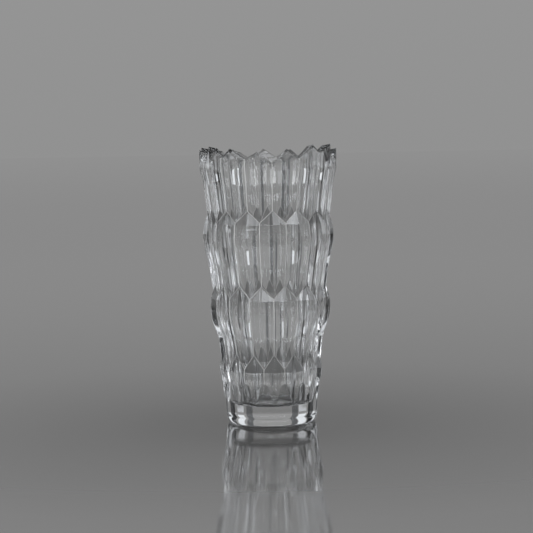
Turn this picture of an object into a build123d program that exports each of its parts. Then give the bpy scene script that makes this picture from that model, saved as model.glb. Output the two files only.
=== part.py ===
"""Cut crystal vase: one piece of clear glass, in millimetres, +Z up.

The origin is the middle of the standing face. The outside is four rows of keeled crystals,
each row turned half a crystal from its neighbours, on a plain rounded foot. The inside is one
smooth tapering bowl, and the rim is cut into one tooth over each crystal of the top row.
"""
import math
import os

from build123d import *

# Driving dimensions
HEIGHT = 264.0                      # standing face to the tip of the tallest tooth
CRYSTALS = 15                       # crystals in each row
PITCH = 360.0 / CRYSTALS            # angle from one crystal's keel to the next
GROOVE_DEPTH = 0.05                 # a groove lies this share of the keel's radius inside it
FIRST_KEEL = -86.4                  # angle of the frontmost keel in the first and third rows

# The keel line of each row's crystals, bottom row first, as (height, radius) from its lower end
# to its upper end. The ends run on inside the neighbouring rows: the zigzag joint between two
# rows is where their surfaces cross.
ROW_KEELS = [
    [(14, 42.5), (28, 45.6), (37, 46.6), (45, 48.8), (52, 49.6), (72, 45.2)],
    [(48, 45.8), (63, 47.7), (82, 50.2), (98, 55.6), (108, 57.3), (119, 57.0), (139, 50.4)],
    [(112, 52.2), (130, 54.7), (150, 57.6), (168, 61.9), (178, 62.9), (190, 61.4), (210, 53.1)],
    [(181, 56.4), (198, 58.4), (227, 62.0), (243, 65.1), (HEIGHT + 2, 65.3)],
]

# Foot: a plain turned band that the bottom row dies into
STANDING_RADIUS = 38.0
FOOT_ROUND = 10.0                   # radius of the foot's rounded edge
FOOT_ROUND_TOP = (43.3, 9.0)        # (radius, height) where the rounded edge meets the band
BAND_TOP = (44.5, 28.0)
FOOT_CORE_TOP = (43.0, 44.0)        # the band's upper end, inside the bottom row
PUNT_RADIUS = 31.0                  # shallow hollow ground under the foot
PUNT_DEPTH = 1.6
PUNT_SLOPE = 40                     # degrees from upright of the hollow's edge

# Bowl
FLOOR_THICKNESS = 18.0
FLOOR_RADIUS = 25.0
FLOOR_CORNER = 5.0
MOUTH_RADIUS = 56.6                 # at the tallest tooth's height

# Rim: how far each tooth's tip lies under HEIGHT, and how far the V after it does, going
# anticlockwise from the frontmost tooth. The cutter left no two quite alike.
TIP_DROPS = [4.0, 0.5, 0.0, 4.0, 5.0, 2.5, 4.5, 3.5, 6.0, 4.0, 1.5, 3.8, 0.7, 3.0, 6.4]
NOTCH_DROPS = [13.2, 8.1, 18.3, 15.5, 12.0, 13.5, 12.4, 15.0, 12.5, 16.0, 13.0, 15.8, 11.6, 12.8, 17.3]
RIM_RADIUS = 65.3
CUTTER_START = 45.0                 # the V cutter runs outward from here
CUTTER_LENGTH = 30.0
CUTTER_TOP = HEIGHT + 12.0


def crystal_ring(keel_radius, first_angle):
    """Corners of a ring of crystals cut across: keels on keel_radius, grooves a little inside."""
    corners = []
    for step in range(2 * CRYSTALS):
        is_groove = step % 2 == 1
        radius = keel_radius * (1.0 - GROOVE_DEPTH) if is_groove else keel_radius
        angle = math.radians(first_angle + step * PITCH / 2)
        corners.append((radius * math.cos(angle), radius * math.sin(angle)))
    return corners


# One solid for each row, each of flat facets between one level of its keel line and the next
rows = []
for number, keel_line in enumerate(ROW_KEELS):
    first_angle = FIRST_KEEL + (number % 2) * PITCH / 2
    with BuildPart() as row:
        for height, radius in keel_line:
            with BuildSketch(Plane.XY.offset(height)):
                Polygon(*crystal_ring(radius, first_angle), align=None)
        loft(ruled=True)
    rows.append(row.part)

with BuildPart() as vase:
    # Foot
    with BuildSketch(Plane.XZ):
        with BuildLine():
            Line((0, 0), (STANDING_RADIUS, 0))
            RadiusArc((STANDING_RADIUS, 0), FOOT_ROUND_TOP, -FOOT_ROUND)
            Polyline(FOOT_ROUND_TOP, BAND_TOP, FOOT_CORE_TOP, (0, FOOT_CORE_TOP[1]), (0, 0))
        make_face()
    revolve(axis=Axis.Z)

    # Crystals
    for row_part in rows:
        add(row_part)

    # Bowl
    with BuildSketch(Plane.XZ) as bowl_outline:
        with BuildLine():
            Polyline(
                (0, FLOOR_THICKNESS),
                (FLOOR_RADIUS, FLOOR_THICKNESS),
                (MOUTH_RADIUS, HEIGHT),
                (MOUTH_RADIUS, CUTTER_TOP),
                (0, CUTTER_TOP),
                close=True,
            )
        make_face()
        floor_corner = bowl_outline.vertices().sort_by(Axis.X)[-3:].sort_by(Axis.Y)[0]
        fillet(floor_corner, radius=FLOOR_CORNER)
    revolve(axis=Axis.Z, mode=Mode.SUBTRACT)

    # Hollow under the foot, which leaves a standing ring
    with BuildSketch(Plane.XY):
        Circle(PUNT_RADIUS)
    extrude(amount=PUNT_DEPTH, taper=PUNT_SLOPE, mode=Mode.SUBTRACT)

    # Teeth: one V cut along the radius over each groove of the top row
    half_width = RIM_RADIUS * math.sin(math.radians(PITCH / 2))
    for number in range(CRYSTALS):
        angle = math.radians(FIRST_KEEL + PITCH / 2 + (number + 0.5) * PITCH)
        outward = Vector(math.cos(angle), math.sin(angle), 0)
        sideways = Vector(-math.sin(angle), math.cos(angle), 0)
        notch_height = HEIGHT - NOTCH_DROPS[number]
        tip_before = HEIGHT - TIP_DROPS[number]
        tip_after = HEIGHT - TIP_DROPS[(number + 1) % CRYSTALS]
        to_top = CUTTER_TOP - notch_height
        reach_before = half_width * to_top / (tip_before - notch_height)
        reach_after = half_width * to_top / (tip_after - notch_height)
        with BuildSketch(Plane(origin=outward * CUTTER_START, x_dir=sideways, z_dir=outward)):
            Polygon(
                (0, notch_height),
                (reach_after, CUTTER_TOP),
                (-reach_before, CUTTER_TOP),
                align=None,
            )
        extrude(amount=CUTTER_LENGTH, mode=Mode.SUBTRACT)

vase.part.label = "vase"

os.makedirs("parts", exist_ok=True)
export_step(vase.part, "parts/vase.step")
print("solids", len(vase.part.solids()), "valid", vase.part.is_valid, "box", vase.part.bounding_box())
print("volume", vase.part.volume, "faces", len(vase.part.faces()))
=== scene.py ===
import math

import bpy
from mathutils import Euler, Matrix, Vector


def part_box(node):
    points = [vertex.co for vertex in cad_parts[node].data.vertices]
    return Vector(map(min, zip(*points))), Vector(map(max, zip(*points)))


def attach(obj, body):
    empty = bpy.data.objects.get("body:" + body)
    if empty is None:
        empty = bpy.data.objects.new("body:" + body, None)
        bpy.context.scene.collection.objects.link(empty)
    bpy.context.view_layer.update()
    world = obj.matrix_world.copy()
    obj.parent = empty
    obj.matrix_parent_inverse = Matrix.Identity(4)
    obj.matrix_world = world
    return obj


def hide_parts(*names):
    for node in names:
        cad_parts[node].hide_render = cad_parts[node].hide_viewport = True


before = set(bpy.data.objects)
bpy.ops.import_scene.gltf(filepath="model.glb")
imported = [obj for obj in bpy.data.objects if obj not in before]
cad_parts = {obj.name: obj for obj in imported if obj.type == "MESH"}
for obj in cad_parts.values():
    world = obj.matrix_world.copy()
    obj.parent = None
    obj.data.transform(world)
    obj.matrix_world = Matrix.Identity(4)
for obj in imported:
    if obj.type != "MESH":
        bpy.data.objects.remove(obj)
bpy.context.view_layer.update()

# ---------------------------------------------------------------------------------------------
# The vase's design, in millimetres, as in the CAD model: +Z up from the standing face.
# ---------------------------------------------------------------------------------------------
MM = 0.001
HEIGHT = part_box("vase")[1].z / MM       # tip of the tallest tooth
CRYSTALS = 15
HALF_PITCH = math.pi / CRYSTALS         # from a keel to the groove beside it
GROOVE_DEPTH = 0.05                     # share of the keel's radius
FIRST_KEEL = math.radians(-86.4)        # frontmost keel of the first and third rows

# Each row's keel line from its lower end up, as (height, radius). The last stretch of the lower
# three rows is the flat shoulder over a sharp crease.
ROW_KEELS = [
    [(14, 42.5), (28, 45.6), (37, 46.6), (45, 48.8), (52, 49.6), (72, 45.2)],
    [(48, 45.8), (63, 47.7), (82, 50.2), (98, 55.6), (108, 57.3), (119, 57.0), (139, 50.4)],
    [(112, 52.2), (130, 54.7), (150, 57.6), (168, 61.9), (178, 62.9), (190, 61.4), (210, 53.1)],
    [(181, 56.4), (198, 58.4), (227, 62.0), (243, 65.1), (266, 65.3)],
]
CREASES = [52.0, 119.0, 190.0]          # heights of the shoulders' lower edges

# Heights between which each zigzag joint runs: the foot's, then the three between the rows
JOINT_SPANS = [(15.0, 44.0), (50.5, 71.5), (113.0, 138.0), (182.0, 209.0)]

# Foot: a plain turned band with a rounded edge, hollowed underneath
STANDING_RADIUS = 38.0
FOOT_ROUND_TOP = (43.3, 9.0)            # (radius, height) where the rounded edge meets the band
BAND_TOP = (44.5, 28.0)
FOOT_HIDDEN = 45.0                      # over this height the foot lies inside the bottom row
PUNT_RADIUS = 31.0
PUNT_DEPTH = 1.6
PUNT_SLOPE = math.radians(40)           # from upright, of the hollow's edge

# Bowl
FLOOR_THICKNESS = 18.0
FLOOR_RADIUS = 25.0
FLOOR_CORNER = 5.0
MOUTH_RADIUS = 56.6                     # at the tallest tooth's height

# Rim: how far each tooth's tip lies under HEIGHT, and how far the V after it does, going
# anticlockwise from the frontmost tooth
RIM_RADIUS = 65.3
TIP_DROPS = [4.0, 0.5, 0.0, 4.0, 5.0, 2.5, 4.5, 3.5, 6.0, 4.0, 1.5, 3.8, 0.7, 3.0, 6.4]
NOTCH_DROPS = [13.2, 8.1, 18.3, 15.5, 12.0, 13.5, 12.4, 15.0, 12.5, 16.0, 13.0, 15.8, 11.6, 12.8, 17.3]

# Polishing leaves every edge a little round
KEEL_ROUND = 0.2                        # half-width of a rounded keel or groove
JOINT_ROUND = 0.1                       # how far the zigzag joints are filled
RIM_ROUND = 0.35                        # bevel along the rim's edges
TIP_ROUND = 0.5                         # round of each tooth's tip and each notch
EDGE_WIDTH = 0.25                       # satin line left by the wheel along each side of a joint
CREASE_LINE = 0.3                       # from a crease to the grid line beside it


# ---------------------------------------------------------------------------------------------
# Surfaces
# ---------------------------------------------------------------------------------------------
def smooth_max(a, b, blend):
    """The larger of a and b, filled by a small round where they cross."""
    gap = abs(a - b)
    filled = (blend - gap) ** 2 / (4 * blend) if gap < blend else 0.0
    return max(a, b) + filled


def smooth_min(a, b, blend):
    return -smooth_max(-a, -b, blend)


def slopes_at(points):
    """Slopes of a smooth curve through the points, level where the points turn back."""
    secants = [(q[1] - p[1]) / (q[0] - p[0]) for p, q in zip(points, points[1:])]
    slopes = [secants[0]]
    for before, after in zip(secants, secants[1:]):
        slopes.append(0.0 if before * after <= 0 else 2 * before * after / (before + after))
    slopes.append(secants[-1])
    return slopes


def curve_value(points, slopes, x):
    """Height of the smooth curve at x: a cubic between each two points."""
    for i in range(len(points) - 1):
        if x <= points[i + 1][0] or i == len(points) - 2:
            break
    (x0, y0), (x1, y1) = points[i], points[i + 1]
    span = x1 - x0
    t = (x - x0) / span
    rise = (1 - t) ** 2 * (1 + 2 * t) * y0 + t * t * (3 - 2 * t) * y1
    return rise + span * (t * (1 - t) ** 2 * slopes[i] - t * t * (1 - t) * slopes[i + 1])


# Each row's smooth part with its slopes, and its shoulder's upper end; the top row has no shoulder
KEEL_CURVES = []
for keel_line in ROW_KEELS[:3]:
    KEEL_CURVES.append((keel_line[:-1], slopes_at(keel_line[:-1]), keel_line[-1]))
KEEL_CURVES.append((ROW_KEELS[3], slopes_at(ROW_KEELS[3]), None))


def keel_radius(row, z):
    """Radius of a row's keel at a height: a smooth taper and belly, then a straight shoulder."""
    body, slopes, top = KEEL_CURVES[row]
    if top is None or z <= body[-1][0]:
        return curve_value(body, slopes, z)
    (z0, r0), (z1, r1) = body[-1], top
    return r0 + (r1 - r0) * (z - z0) / (z1 - z0)


def from_keel(row, angle):
    """Angle from the nearest keel of a row, from 0 at the keel to HALF_PITCH in the groove."""
    first = FIRST_KEEL + (row % 2) * HALF_PITCH
    turned = (angle - first) % (2 * HALF_PITCH)
    return min(turned, 2 * HALF_PITCH - turned)


def facet_radius(keel, away, rounding=0.0):
    """Radius of the flat facet between a keel and its groove, at an angle from the keel."""
    groove = keel * (1 - GROOVE_DEPTH)
    if rounding:
        soft = rounding / keel
        from_groove = HALF_PITCH - away
        away = math.hypot(away, soft) - math.hypot(from_groove, soft) + from_groove
    return keel * groove * math.sin(HALF_PITCH) / (
        keel * math.sin(away) + groove * math.sin(HALF_PITCH - away)
    )


def foot_radius(z):
    """Radius of the turned foot: a round edge, then the band."""
    edge_r, edge_z = FOOT_ROUND_TOP
    if z >= edge_z:
        return edge_r + (BAND_TOP[0] - edge_r) * (z - edge_z) / (BAND_TOP[1] - edge_z)
    rise = 1 - z / edge_z
    return edge_r - (edge_r - STANDING_RADIUS) * (1 - math.sqrt(max(0.0, 1 - rise * rise)))


def sharp_radius(layer, angle, z):
    """Radius of one layer with sharp edges: layer 0 is the foot, 1 to 4 the rows from below."""
    if layer == 0:
        return foot_radius(z)
    return facet_radius(keel_radius(layer - 1, z), from_keel(layer - 1, angle))


def outer_radius(angle, z):
    """Radius of the finished outside."""
    radius = foot_radius(z) if z < FOOT_HIDDEN else 0.0
    for row, keel_line in enumerate(ROW_KEELS):
        if keel_line[0][0] <= z <= keel_line[-1][0]:
            facet = facet_radius(keel_radius(row, z), from_keel(row, angle), KEEL_ROUND)
            radius = smooth_max(radius, facet, JOINT_ROUND)
    return radius


def joint_height(joint, angle):
    """Height of the zigzag between layer joint and the layer over it, by halving."""
    low, high = JOINT_SPANS[joint]
    for _ in range(30):
        middle = (low + high) / 2
        if sharp_radius(joint, angle, middle) > sharp_radius(joint + 1, angle, middle):
            low = middle
        else:
            high = middle
    return (low + high) / 2


# ---------------------------------------------------------------------------------------------
# Mesh of the vase: one closed grid of columns around the axis and rings from the punt's middle,
# up the outside, over the rim and down the bowl. Grid lines lie on every crease, and two more
# close beside each, so that the creases stay crisp and still have a small round edge.
# ---------------------------------------------------------------------------------------------
SECTOR_SHARES = [0.0, 0.03, 0.07, 0.16, 0.33, 0.5, 0.67, 0.84, 0.93, 0.97]
PUNT_RING_RADII = [4.0, 12.0, 20.0, 26.0]
STANDING_RING_RADII = [33.0, 35.5]
FOOT_ROUND_RINGS = 13
BAND_RINGS = 5
ROW_RINGS = [12, 30, 30, 26]
SHOULDER_RINGS = 6
RIM_SHARES = [0.0, 0.25, 0.5, 0.75, 1.0]
ROUND_SHARE = 0.3                       # how far a round's middle lies inside the sharp corner
BOWL_RINGS = 44
CORNER_RINGS = 9
FLOOR_SHARES = [0.75, 0.5, 0.25, 0.1]


def column_angles():
    """Angles of the grid's columns, closer together beside keels and grooves."""
    angles = []
    for sector in range(2 * CRYSTALS):
        for share in SECTOR_SHARES:
            angles.append(FIRST_KEEL + HALF_PITCH * (sector + share))
    return angles


def spread(low, high, count, edge_low=0.0, edge_high=0.0):
    """Heights from low up to high, without high itself, with a close line beside each edge given."""
    inner_low = low + edge_low
    inner_high = high - edge_high
    heights = [low] if edge_low else []
    for i in range(count):
        heights.append(inner_low + (inner_high - inner_low) * i / count)
    if edge_high:
        heights.append(inner_high)
    return heights


def rim_height(angle, radius):
    """Height of the rim at a place: the lower two of the nearest three V cuts."""
    first_tooth = FIRST_KEEL + HALF_PITCH
    nearest = math.floor((angle - first_tooth) / (2 * HALF_PITCH) + 1e-6)
    half_width = RIM_RADIUS * math.sin(HALF_PITCH)
    heights = []
    for cut in (nearest - 1, nearest, nearest + 1):
        notch = HEIGHT - NOTCH_DROPS[cut % CRYSTALS]
        middle = first_tooth + (cut + 0.5) * 2 * HALF_PITCH
        sideways = radius * math.sin(angle - middle)
        tooth = cut + 1 if sideways > 0 else cut
        tip = HEIGHT - TIP_DROPS[tooth % CRYSTALS]
        slope = (tip - notch) / half_width
        heights.append(notch + slope * (math.hypot(sideways, TIP_ROUND) - TIP_ROUND))
    lowest = sorted(heights)[:2]
    return smooth_min(lowest[0], lowest[1], TIP_ROUND)


def rim_outer_height(angle):
    """Height where the outside meets the rim."""
    z = HEIGHT
    for _ in range(12):
        z = rim_height(angle, outer_radius(angle, min(z, HEIGHT)))
    return z


def bowl_radius(z):
    """Radius of the bowl's cone."""
    share = (z - FLOOR_THICKNESS) / (HEIGHT - FLOOR_THICKNESS)
    return FLOOR_RADIUS + (MOUTH_RADIUS - FLOOR_RADIUS) * share


def outer_heights(angle):
    """Heights of the grid's rings up the outside at one angle, from the foot's round to the rim.

    The second list holds the places in it of the zigzag joints.
    """
    joints = [joint_height(joint, angle) for joint in range(4)]
    rim = rim_outer_height(angle)
    heights = spread(FOOT_ROUND_TOP[1], joints[0], BAND_RINGS, edge_high=EDGE_WIDTH)
    edges = []
    for row in range(3):
        # up a row's taper and belly to its crease, then up its shoulder to the next joint
        low, crease, high = joints[row], CREASES[row], joints[row + 1]
        gap = high - crease
        edges.append(len(heights))
        heights += spread(low, crease, ROW_RINGS[row], EDGE_WIDTH, CREASE_LINE)
        edge_low, edge_high = min(CREASE_LINE, gap * 0.2), min(EDGE_WIDTH, gap * 0.3)
        heights += spread(crease, high, SHOULDER_RINGS, edge_low, edge_high)
    edges.append(len(heights))
    heights += spread(joints[3], rim - RIM_ROUND, ROW_RINGS[3], EDGE_WIDTH)
    return heights, edges


def foot_outline():
    """Outline of the hollow, the standing ring and the rounded edge, as (radius, height)."""
    punt_top = PUNT_RADIUS - PUNT_DEPTH * math.tan(PUNT_SLOPE)
    points = []
    for radius in PUNT_RING_RADII + [punt_top - 0.4]:
        points.append((radius, PUNT_DEPTH))
    points.append((punt_top, PUNT_DEPTH - 0.1))
    points.append((PUNT_RADIUS - 0.2, 0.15))
    for radius in [PUNT_RADIUS + 0.2] + STANDING_RING_RADII:
        points.append((radius, 0.0))
    for step in range(FOOT_ROUND_RINGS):
        z = FOOT_ROUND_TOP[1] * (1 - math.cos(math.pi / 2 * step / FOOT_ROUND_RINGS))
        points.append((foot_radius(z), z))
    return points


def rim_outline(angle):
    """Outline over the rim at one angle, with a small round along its outer and inner edges.

    The height of its inner edge comes with it.
    """
    outer_z = rim_outer_height(angle)
    outer_r = outer_radius(angle, outer_z)
    inner_r = bowl_radius(outer_z)
    inner_z = rim_height(angle, inner_r)
    inset = RIM_ROUND * ROUND_SHARE
    points = [(outer_radius(angle, outer_z - RIM_ROUND), outer_z - RIM_ROUND)]
    points.append((outer_r - inset, rim_height(angle, outer_r) - inset))
    for share in RIM_SHARES:
        radius = (outer_r - RIM_ROUND) + (inner_r + 2 * RIM_ROUND - outer_r) * share
        points.append((radius, rim_height(angle, radius)))
    points.append((bowl_radius(inner_z) + inset, inner_z - inset))
    return points, inner_z


def bowl_outline(top):
    """Outline of the bowl from its top edge down its wall, round its corner and in."""
    corner_top = FLOOR_THICKNESS + FLOOR_CORNER
    corner_r = bowl_radius(corner_top)
    points = []
    for step in range(BOWL_RINGS):
        z = top + (corner_top - top) * step / BOWL_RINGS
        points.append((bowl_radius(z), z))
    for step in range(CORNER_RINGS):
        turn = math.pi / 2 * step / (CORNER_RINGS - 1)
        radius = corner_r - FLOOR_CORNER * (1 - math.cos(turn))
        points.append((radius, corner_top - FLOOR_CORNER * math.sin(turn)))
    for share in FLOOR_SHARES:
        points.append(((corner_r - FLOOR_CORNER) * share, FLOOR_THICKNESS))
    return points


FOOT_OUTLINE = foot_outline()


def outline(angle):
    """The whole outline at one angle, from the hollow's middle, up, over and down."""
    outside = [(outer_radius(angle, z), z) for z in outer_heights(angle)[0]]
    rim, inner_z = rim_outline(angle)
    return FOOT_OUTLINE + outside + rim + bowl_outline(inner_z - RIM_ROUND)


def build_vase_mesh():
    """The closed mesh, with its satin faces in the second material slot."""
    angles = column_angles()
    columns = len(angles)
    verts = []
    for angle in angles:
        for radius, z in outline(angle):
            verts.append((radius * math.cos(angle) * MM, radius * math.sin(angle) * MM, z * MM))
    rings = len(verts) // columns
    heights, edges = outer_heights(angles[0])
    joints = [len(FOOT_OUTLINE) + edge for edge in edges]
    rim_ring = len(FOOT_OUTLINE) + len(heights)
    under_middle = len(verts)
    verts.append((0.0, 0.0, PUNT_DEPTH * MM))
    floor_middle = len(verts)
    verts.append((0.0, 0.0, FLOOR_THICKNESS * MM))
    faces, satin = [], []
    for column in range(columns):
        here = column * rings
        there = (column + 1) % columns * rings
        # line counts the keels and grooves from the first keel: row 0 has its grooves at odd ones
        line, share = divmod(column, len(SECTOR_SHARES))
        if share == len(SECTOR_SHARES) - 1:
            line += 1
        beside_line = share in (0, len(SECTOR_SHARES) - 1)
        faces.append((under_middle, there, here))
        satin.append(False)
        for ring in range(rings - 1):
            faces.append((here + ring, there + ring, there + ring + 1, here + ring + 1))
            on_joint = ring in joints[1:] or ring + 1 in joints[1:]
            row = sum(ring >= joint for joint in joints) - 1
            in_groove = beside_line and 0 <= row and ring < rim_ring and (line + row) % 2 == 1
            satin.append(on_joint or in_groove)
        faces.append((floor_middle, here + rings - 1, there + rings - 1))
        satin.append(False)
    mesh = bpy.data.meshes.new("crystal_vase")
    mesh.from_pydata(verts, [], faces)
    mesh.polygons.foreach_set("material_index", [int(is_satin) for is_satin in satin])
    mesh.polygons.foreach_set("use_smooth", [True] * len(faces))
    mesh.update()
    return mesh


crystal = bpy.data.objects.new("crystal_vase", build_vase_mesh())
bpy.context.scene.collection.objects.link(crystal)


# ---------------------------------------------------------------------------------------------
# Materials
# ---------------------------------------------------------------------------------------------
def new_material(name):
    material = bpy.data.materials.new(name)
    material.use_nodes = True
    tree = material.node_tree
    shader = tree.nodes["Principled BSDF"]
    return material, tree, shader


def crystal_glass(name, transmission, roughness):
    """Lead crystal, with the faint waviness that acid polishing leaves."""
    material, tree, shader = new_material(name)
    shader.inputs["Base Color"].default_value = (0.97, 0.975, 0.975, 1)
    shader.inputs["Transmission Weight"].default_value = transmission
    shader.inputs["IOR"].default_value = 1.54
    shader.inputs["Roughness"].default_value = roughness
    place = tree.nodes.new("ShaderNodeTexCoord")
    waves = tree.nodes.new("ShaderNodeTexNoise")
    waves.inputs["Scale"].default_value = 55.0
    waves.inputs["Detail"].default_value = 2.0
    bump = tree.nodes.new("ShaderNodeBump")
    bump.inputs["Strength"].default_value = 0.15
    bump.inputs["Distance"].default_value = 0.0006
    tree.links.new(place.outputs["Object"], waves.inputs["Vector"])
    tree.links.new(waves.outputs["Fac"], bump.inputs["Height"])
    tree.links.new(bump.outputs["Normal"], shader.inputs["Normal"])
    return material


crystal.data.materials.append(crystal_glass("clear_crystal", 1.0, 0.0))
crystal.data.materials.append(crystal_glass("satin_edge", 0.6, 0.25))
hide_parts("vase")
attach(crystal, "root")


# ---------------------------------------------------------------------------------------------
# Stage: a pale floor with painted shade around the vase, soft studio light and the camera
# ---------------------------------------------------------------------------------------------
FLOOR_REACH = 60.0                      # radius of the floor, metres
PANEL_RING = 2.4                        # distance of the lit cards from the vase
FLAG_RING = 2.6
CARD_BASE = 0.15                        # height that the cards' edges are measured from


def build_floor():
    """A wide pale floor with painted shade: its colour is a little darker around the vase, and it
    meets the backdrop without a line.
    """
    bpy.ops.mesh.primitive_circle_add(vertices=128, radius=FLOOR_REACH, fill_type="NGON")
    floor = bpy.context.object
    floor.name = "floor"
    material, tree, shader = new_material("floor_painted_shade")
    place = tree.nodes.new("ShaderNodeTexCoord")
    distance = tree.nodes.new("ShaderNodeVectorMath")
    distance.operation = "LENGTH"
    share = tree.nodes.new("ShaderNodeMapRange")
    share.inputs["From Min"].default_value = 0.1
    share.inputs["From Max"].default_value = 5.1
    # painted shade: the floor's colour is darkest beside the vase and grows paler with distance from
    # it
    tones = tree.nodes.new("ShaderNodeValToRGB")
    tones.color_ramp.elements[0].color = (0.08, 0.08, 0.08, 1)
    tones.color_ramp.elements[1].color = (0.90, 0.90, 0.90, 1)
    tones.color_ramp.elements.new(0.03).color = (0.14, 0.14, 0.14, 1)
    tones.color_ramp.elements.new(0.07).color = (0.21, 0.21, 0.21, 1)
    sheen = tree.nodes.new("ShaderNodeMapRange")
    sheen.inputs["To Min"].default_value = 0.07
    sheen.inputs["To Max"].default_value = 0.0
    tree.links.new(place.outputs["Object"], distance.inputs[0])
    tree.links.new(distance.outputs["Value"], share.inputs["Value"])
    tree.links.new(share.outputs["Result"], tones.inputs["Fac"])
    tree.links.new(share.outputs["Result"], sheen.inputs["Value"])
    tree.links.new(sheen.outputs["Result"], shader.inputs["Roughness"])
    tree.links.new(tones.outputs["Color"], shader.inputs["Base Color"])
    floor.data.materials.append(material)


def softbox(name, place, aim, size, power, casts_shadow):
    """A square soft light for the floor and the satin edges, not mirrored in the glass."""
    light = bpy.data.lights.new(name, "AREA")
    light.shape = "SQUARE"
    light.size = size
    light.energy = power
    light.use_shadow = casts_shadow
    holder = bpy.data.objects.new(name, light)
    holder.location = place
    holder.rotation_euler = (Vector(aim) - Vector(place)).to_track_quat("-Z", "Y").to_euler()
    holder.visible_camera = False
    holder.visible_glossy = False
    holder.visible_transmission = False
    bpy.context.scene.collection.objects.link(holder)


def card(name, azimuth, width, low, high, glow, ring, mirrored):
    """An upright card of the studio, a dark flag or a lit panel, that the camera doesn't see.

    It shows through the glass, and if mirrored also in the glass's and the floor's reflections.
    """
    steps = 4
    verts, faces = [], []
    for step in range(steps + 1):
        turn = math.radians(azimuth - width / 2 + width * step / steps)
        for elevation in (low, high):
            rise = ring * math.tan(math.radians(elevation))
            verts.append((ring * math.sin(turn), ring * math.cos(turn), CARD_BASE + rise))
    for step in range(steps):
        faces.append((2 * step, 2 * step + 2, 2 * step + 3, 2 * step + 1))
    mesh = bpy.data.meshes.new(name)
    mesh.from_pydata(verts, [], faces)
    panel = bpy.data.objects.new(name, mesh)
    bpy.context.scene.collection.objects.link(panel)
    material, tree, shader = new_material(name)
    shader.inputs["Base Color"].default_value = (0, 0, 0, 1)
    shader.inputs["Roughness"].default_value = 1.0
    shader.inputs["Specular IOR Level"].default_value = 0.0
    shader.inputs["Emission Color"].default_value = (0.93, 0.96, 1, 1)
    shader.inputs["Emission Strength"].default_value = glow
    mesh.materials.append(material)
    panel.visible_camera = False
    panel.visible_shadow = False
    panel.visible_diffuse = False
    panel.visible_glossy = mirrored


build_floor()

# (name, azimuth, width, lower edge, upper edge, glow), in degrees round and up from the vase, with
# azimuth 0 behind it and 90 to the camera's right
BEHIND_BOARDS = [
    ("board_left", -32, 12, 0, 40, 0.9),
    ("board_right", 33, 10, 0, 40, 0.9),
    ("board_far_left", -61, 12, 0, 40, 0.8),
    ("board_far_right", 62, 12, 0, 40, 1.0),
    ("board_side_left", -81, 10, 0, 40, 0.5),
    ("board_side_right", 84, 12, 0, 40, 0.7),
]
FRONT_PANELS = [
    ("panel_front_left", -148, 14, 16, 24, 5.0),
    ("panel_front_near_left", -160, 10, 24, 40, 3.5),
    ("reflector_left", -174, 8, 15, 50, 3.0),
    ("reflector_middle", 173, 12, 15, 50, 3.0),
    ("panel_front_right", 157, 12, 26, 42, 5.0),
    ("reflector_right", 146, 8, 15, 50, 3.0),
    ("panel_front_far_right", 133.4, 12, 24, 44, 3.0),
    ("reflector_far_left", -128, 14, 15, 50, 2.2),
]
SIDE_PANELS = [
    ("panel_left", -92, 8, 0, 42, 1.4),
    ("panel_right", 101, 14, 4, 46, 1.6),
]
BACK_FLAGS = [
    ("flag_back_left", -21.5, 7, -12, 40, 0.12),
    ("flag_back_right", 21, 7, -12, 40, 0.12),
    ("flag_side_left", -48, 14, -12, 60, 0.01),
    ("flag_side_right", 49, 12, -12, 60, 0.01),
    ("flag_left", -71.5, 10, -12, 60, 0.01),
    ("flag_right", 73, 11, -12, 60, 0.01),
]
FRONT_FLAGS = [
    ("flag_front_left", -119.5, 45, -12, 60, 0.01),
    ("flag_front", 180, 78, -12, 60, 0.01),
    ("flag_front_right", 125, 34, -12, 60, 0.01),
]
for values in BEHIND_BOARDS + FRONT_PANELS:
    card(*values, PANEL_RING, True)
for values in SIDE_PANELS:
    card(*values, PANEL_RING, False)
for values in BACK_FLAGS:
    card(*values, FLAG_RING, True)
for values in FRONT_FLAGS:
    card(*values, FLAG_RING, False)
softbox("top_softbox", (0.0, 0.1, 3.0), (0, 0, 0.1), 2.0, 40, True)
softbox("key_softbox", (-0.9, -2.6, 1.0), (0, 0, 0.13), 1.2, 60, False)


def build_world():
    """Even grey all round up to the height of a wall, under a dark ceiling."""
    world = bpy.data.worlds.new("studio")
    world.use_nodes = True
    tree = world.node_tree
    place = tree.nodes.new("ShaderNodeTexCoord")
    parts = tree.nodes.new("ShaderNodeSeparateXYZ")
    tones = tree.nodes.new("ShaderNodeValToRGB")
    ramp = tones.color_ramp
    ramp.elements[0].position = 0.0
    ramp.elements[0].color = (0.285, 0.285, 0.285, 1)
    ramp.elements[1].position = 0.5
    ramp.elements[1].color = (0.03, 0.03, 0.03, 1)
    for height in (0.1, 0.42):
        ramp.elements.new(height).color = (0.3, 0.3, 0.3, 1)
    tree.links.new(place.outputs["Generated"], parts.inputs["Vector"])
    tree.links.new(parts.outputs["Z"], tones.inputs["Fac"])
    tree.links.new(tones.outputs["Color"], tree.nodes["Background"].inputs["Color"])
    bpy.context.scene.world = world


build_world()

# Camera, level with the rim and looking a little down, leaning by a degree
EYE = Vector((-0.0028, -1.64, 0.262))
AIM = Vector((-0.0028, 0.0, 0.148))
LEAN = math.radians(-1.0)
SENSOR_WIDTH = 36.0
FIELD_WIDTH = 0.507426                  # metres across the picture at the vase
camera_data = bpy.data.cameras.new("camera")
camera_data.sensor_width = SENSOR_WIDTH
camera_data.lens = SENSOR_WIDTH * (AIM - EYE).length / FIELD_WIDTH
camera = bpy.data.objects.new("camera", camera_data)
camera.location = EYE
look = (AIM - EYE).to_track_quat("-Z", "Y")
camera.rotation_euler = (look @ Euler((0, 0, LEAN)).to_quaternion()).to_euler()
bpy.context.scene.collection.objects.link(camera)
bpy.context.scene.camera = camera

scene = bpy.context.scene
scene.view_settings.view_transform = "Standard"
scene.cycles.max_bounces = 32
scene.cycles.transmission_bounces = 32
scene.cycles.glossy_bounces = 12

bpy.context.view_layer.update()
